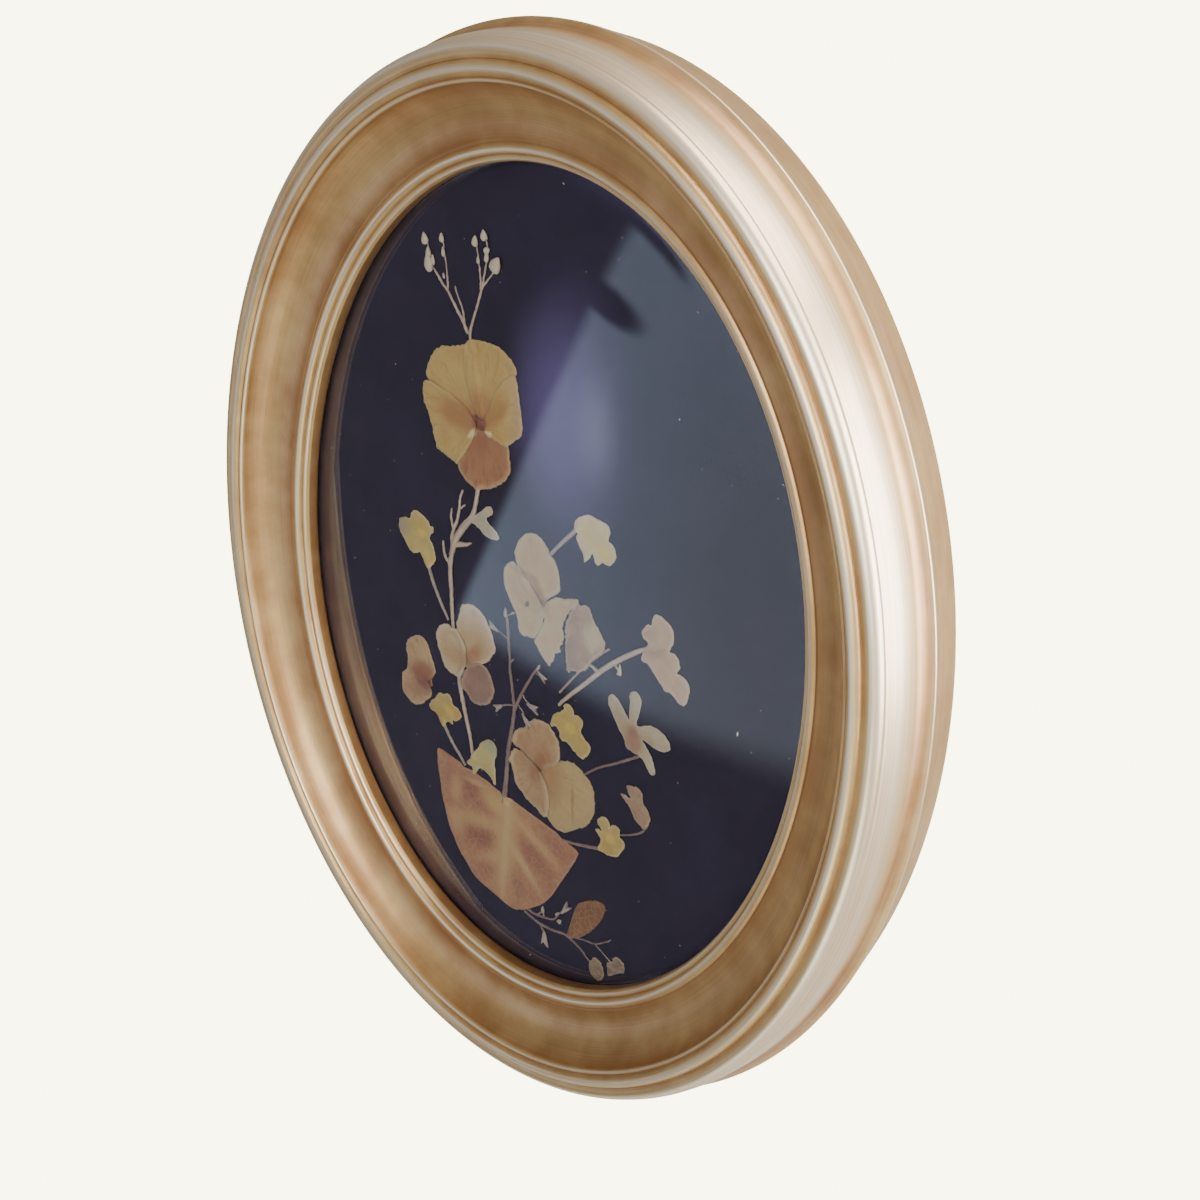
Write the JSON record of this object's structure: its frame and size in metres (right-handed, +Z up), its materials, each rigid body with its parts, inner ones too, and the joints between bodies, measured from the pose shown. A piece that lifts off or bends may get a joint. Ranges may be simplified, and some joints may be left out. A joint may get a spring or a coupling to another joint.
{
  "type": "pressed_flower_frame",
  "caption": "Antique gilt oval frame with domed glass, holding a pressed posy of dried pansies, violas and sprigs laid on dark velvet.",
  "frame": {"origin": "centre of the bounding box", "axes": "X to the right, Y to the back, Z up; the glass faces -Y"},
  "size_m": [0.2552, 0.0286, 0.3062],
  "materials": {
    "gilt": "water-gilt moulding with a worn warm glaze",
    "glass": "clear, gently domed, slightly uneven",
    "velvet": "dark navy short pile",
    "card": "plain paper card",
    "hardboard": "smooth brown hardboard",
    "steel": "dull plated steel",
    "petals": "dry papery petals, veined and faded",
    "stems": "dry wrinkled stems",
    "leaf": "dry russet leaf with pale veins"
  },
  "bodies": {
    "root": {"backing_board": "hardboard", "bottom_sprig_lower": "stems", "bottom_sprig_upper": "stems", "brown_flower": "petals", "brown_flower_stem": "stems", "cream_flower": "petals", "cream_flower_stem": "stems", "crumpled_petal": "petals", "glass": "glass", "green_flower": "petals", "hanger": "steel", "hanger_nail_left": "steel", "hanger_nail_right": "steel", "left_yellow_flower": "petals", "left_yellow_flower_stem": "stems", "low_pansy_left": "petals", "low_pansy_right": "petals", "low_pansy_upper": "petals", "middle_sprig_left": "stems", "middle_sprig_right": "stems", "middle_sprig_stem": "stems", "middle_yellow_flower": "petals", "moulding": "gilt", "mount_card": "card", "orange_leaf": "leaf", "pale_floret": "petals", "peach_flower": "petals", "peach_pansy_lower": "petals", "peach_pansy_torn": "petals", "peach_pansy_upper": "petals", "point_bottom": "steel", "point_left": "steel", "point_right": "steel", "point_top": "steel", "right_yellow_flower": "petals", "right_yellow_flower_stem": "stems", "side_viola_lower": "petals", "side_viola_upper": "petals", "spray_stem": "stems", "spray_thin_stem": "stems", "star_flower": "petals", "star_flower_stem": "stems", "tall_stem": "stems", "tall_stem_fork": "stems", "top_sprig_left": "stems", "top_sprig_right": "stems", "vase_leaf": "leaf", "velvet": "velvet", "viola_lower": "petals", "viola_side": "petals", "viola_stem": "stems", "viola_upper": "petals", "white_flower": "petals", "white_flower_stem": "stems", "yellow_pansy_lower": "petals", "yellow_pansy_side_left": "petals", "yellow_pansy_side_right": "petals", "yellow_pansy_upper_left": "petals", "yellow_pansy_upper_right": "petals"}
  },
  "joints": []
}
